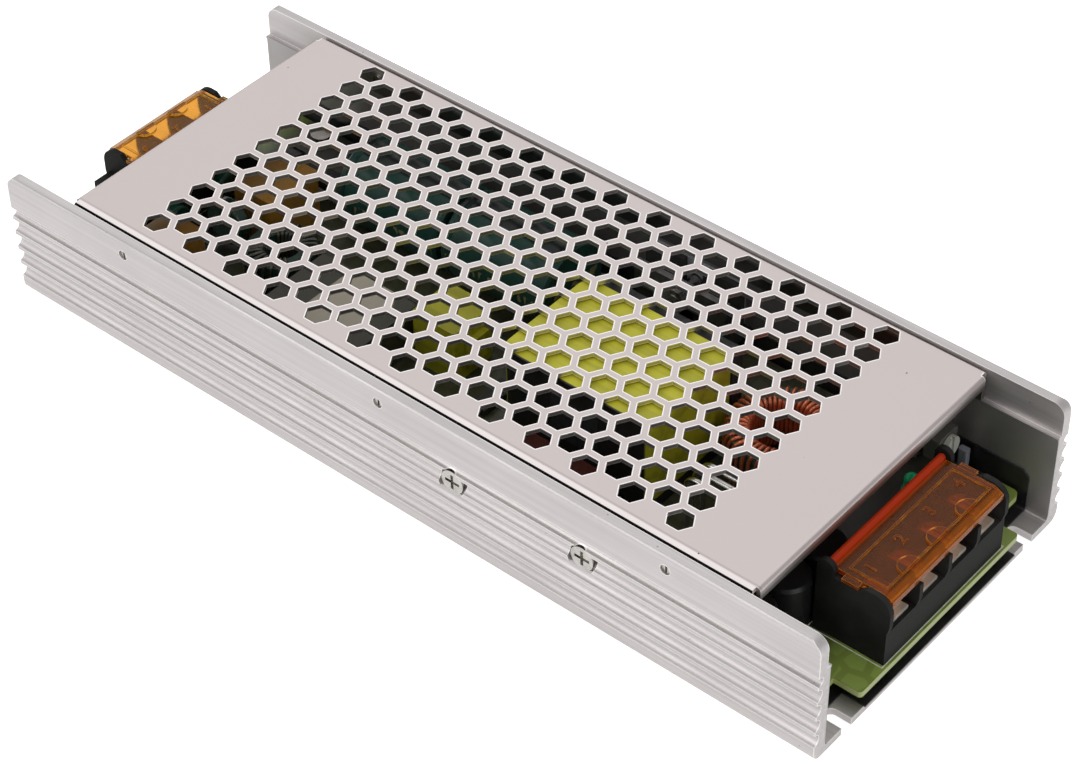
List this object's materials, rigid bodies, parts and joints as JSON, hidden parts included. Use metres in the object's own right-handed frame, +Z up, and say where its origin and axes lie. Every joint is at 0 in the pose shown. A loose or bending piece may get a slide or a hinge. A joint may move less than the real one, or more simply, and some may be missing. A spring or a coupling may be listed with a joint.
{
  "type": "led power supply",
  "caption": "Slim enclosed switching power supply: ribbed aluminium channel, honeycomb cover and a lidded barrier terminal block at each end.",
  "frame": {"origin": "bottom centre of the channel's base", "axes": "+X along the channel towards the output terminals, +Y across towards the far wall, +Z up through the cover"},
  "size_m": [0.2128, 0.082, 0.0315],
  "materials": {
    "channel_aluminium": "satin, bare extrusion",
    "cover_sheet": "satin plated sheet",
    "screw_steel": "plated",
    "clamp_steel": "plain",
    "pad_grey": "matt",
    "package_black": "matt",
    "sheet_black": "satin",
    "board_green": "satin solder mask",
    "brass": "plated",
    "block_black": "satin moulded",
    "lid_amber": "translucent",
    "tinned_metal": "tinned",
    "tape_yellow": "satin tape",
    "ferrite": "matt",
    "bobbin_black": "matt",
    "copper": "enamelled wire",
    "core_grey": "painted core",
    "core_green": "painted core",
    "box_amber": "moulded",
    "sleeve_green": "sleeve",
    "sleeve_black": "sleeve",
    "dip_red": "dipped",
    "dip_blue": "dipped",
    "dip_green": "dipped",
    "fuse_glass": "ceramic tube",
    "relay_white": "moulded",
    "trimmer_white": "moulded",
    "led_green": "translucent",
    "ceramic_grey": "dipped"
  },
  "bodies": {
    "supply": {"channel_housing": "channel_aluminium", "perforated_cover": "cover_sheet", "cover_screws": "screw_steel", "clamp_screws": "screw_steel", "clamp_nuts": "screw_steel", "clamp_bars": "clamp_steel", "thermal_pads": "pad_grey", "output_rectifiers": "package_black", "power_transistors": "package_black", "insulating_sheet": "sheet_black", "circuit_board": "board_green", "board_standoffs": "brass", "board_screws": "screw_steel", "output_terminal_block": "block_black", "output_contact_plates": "tinned_metal", "output_clamp_washers": "tinned_metal", "output_terminal_screws": "screw_steel", "input_terminal_block": "block_black", "input_contact_plates": "tinned_metal", "input_clamp_washers": "tinned_metal", "input_terminal_screws": "screw_steel", "transformer_winding": "tape_yellow", "transformer_core": "ferrite", "transformer_bobbin": "bobbin_black", "standby_winding": "tape_yellow", "standby_core": "ferrite", "inductor_core": "core_grey", "inductor_winding": "copper", "choke_core": "core_green", "choke_windings": "copper", "line_filter_capacitors": "box_amber", "bulk_capacitors": "sleeve_green", "output_capacitors": "sleeve_black", "film_capacitors": "dip_red", "earth_capacitors": "dip_blue", "inrush_thermistor": "dip_green", "varistor": "dip_blue", "fuse": "fuse_glass", "fuse_clips": "tinned_metal", "inrush_relay": "relay_white", "bridge_rectifier": "package_black", "optocouplers": "package_black", "control_chips": "package_black", "wire_links": "tinned_metal", "trimmer_body": "trimmer_white", "indicator_led": "led_green", "sense_capacitor": "ceramic_grey"},
    "output_lid": {"output_terminal_cover": "lid_amber"},
    "input_lid": {"input_terminal_cover": "lid_amber"},
    "rotor": {"trimmer_rotor": "trimmer_white"}
  },
  "joints": [
    {"name": "output_lid_hinge", "type": "hinge", "parent": "supply", "child": "output_lid", "pos_m": [0.091, 0.0014, 0.0235], "axis": [0, -1, 0], "range_deg": [0, 100]},
    {"name": "input_lid_hinge", "type": "hinge", "parent": "supply", "child": "input_lid", "pos_m": [-0.091, 0.0006, 0.0235], "axis": [0, 1, 0], "range_deg": [0, 100]},
    {"name": "trimmer_turn", "type": "hinge", "parent": "supply", "child": "rotor", "pos_m": [0.085, 0.0319, 0.014], "axis": [1, 0, 0], "range_deg": [-130, 130]}
  ]
}
